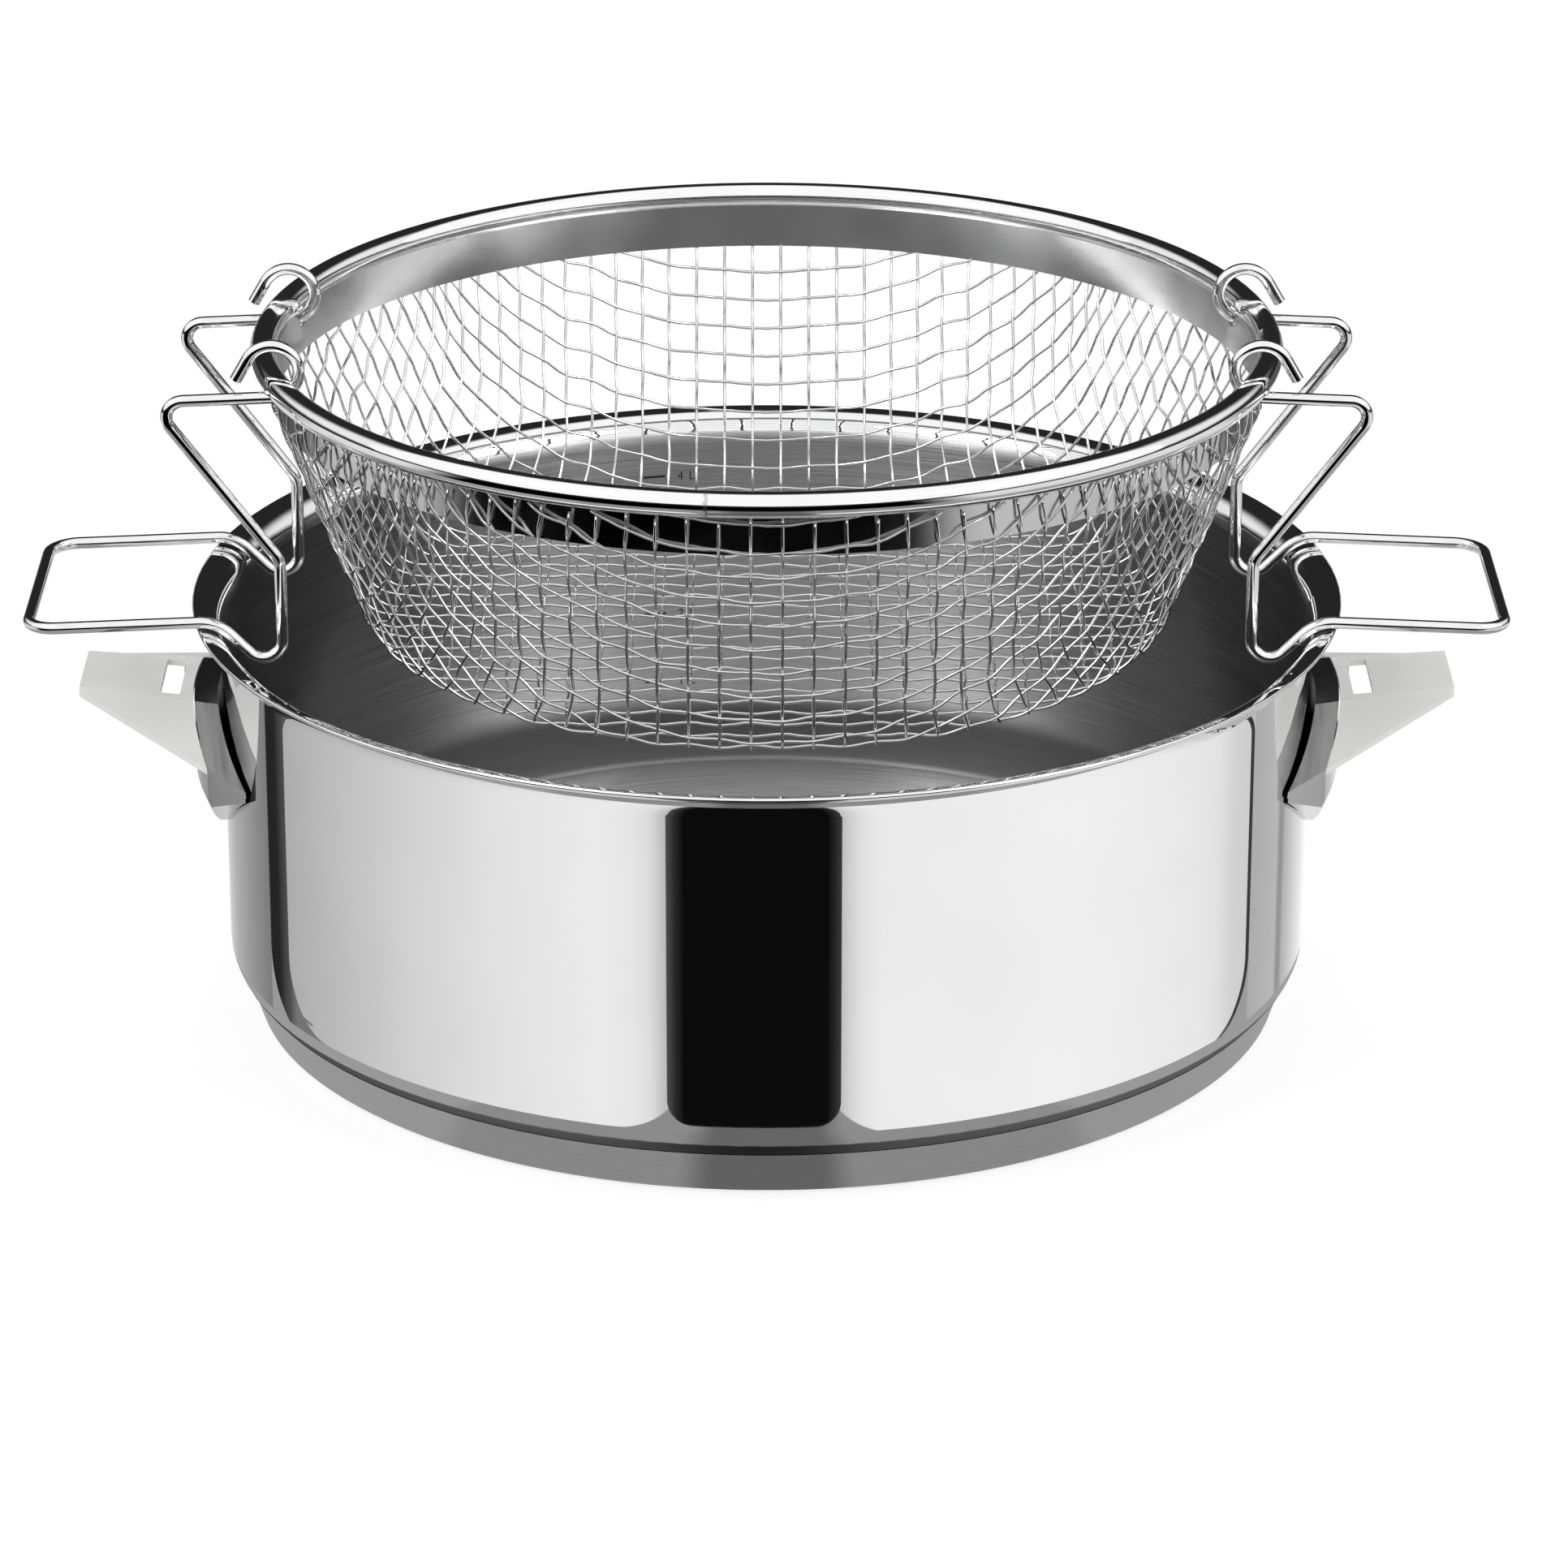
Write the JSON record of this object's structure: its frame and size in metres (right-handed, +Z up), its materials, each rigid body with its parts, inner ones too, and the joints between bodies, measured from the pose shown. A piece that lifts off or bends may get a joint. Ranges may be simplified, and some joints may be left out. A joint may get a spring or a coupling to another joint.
{
  "type": "saute pan with basket",
  "caption": "low polished steel saute pan with white side handles and a round woven-wire frying basket hung above it on swing handles hooked over the lip",
  "frame": {"origin": "centre of the underside of the base", "axes": "+Z up, the side handles and the wire handles along X, the volume marks on the inner wall at the back (+Y)"},
  "size_m": [0.3528, 0.2756, 0.1741],
  "materials": {
    "pan_steel": "mirror polished outside, satin brushed inside",
    "base_steel": "polished side, turned satin underside",
    "base_aluminium": "plain disc, sealed inside the base",
    "mount_steel": "polished casting",
    "grip_white": "satin white moulding",
    "lug_steel": "grey satin lug",
    "screw_steel": "plain stainless fastener",
    "rim_steel": "polished ring and strip",
    "mesh_steel": "drawn and crimped wire, plain weave",
    "wire_steel": "polished drawn wire"
  },
  "bodies": {
    "pan": {"pan_body": "pan_steel", "base_cap": "base_steel", "base_core": "base_aluminium", "left_mount": "mount_steel", "right_mount": "mount_steel", "left_grip": "grip_white", "right_grip": "grip_white", "left_lug": "lug_steel", "right_lug": "lug_steel", "left_grip_screws": "screw_steel", "right_grip_screws": "screw_steel", "left_grip_washers": "screw_steel", "right_grip_washers": "screw_steel"},
    "basket": {"rim_band": "rim_steel", "rim_ring": "rim_steel", "basket_net": "mesh_steel"},
    "left_handle": {"left_wire_handle": "wire_steel"},
    "right_handle": {"right_wire_handle": "wire_steel"}
  },
  "joints": [
    {"name": "basket_lift", "type": "slide", "parent": "pan", "child": "basket", "axis": [0, 0, 1], "range_m": [0, 0.25]},
    {"name": "left_handle_swing", "type": "hinge", "parent": "basket", "child": "left_handle", "pos_m": [-0.11526, 0, 0.16632], "axis": [0, 1, 0], "range_deg": [0, 150]},
    {"name": "right_handle_swing", "type": "hinge", "parent": "basket", "child": "right_handle", "pos_m": [0.11526, 0, 0.16632], "axis": [0, -1, 0], "range_deg": [0, 150]}
  ],
  "couplings": [
    {"joint": "left_handle_swing", "follows": "basket_lift", "rad_per_m": 10.4},
    {"joint": "right_handle_swing", "follows": "basket_lift", "rad_per_m": 10.4}
  ]
}
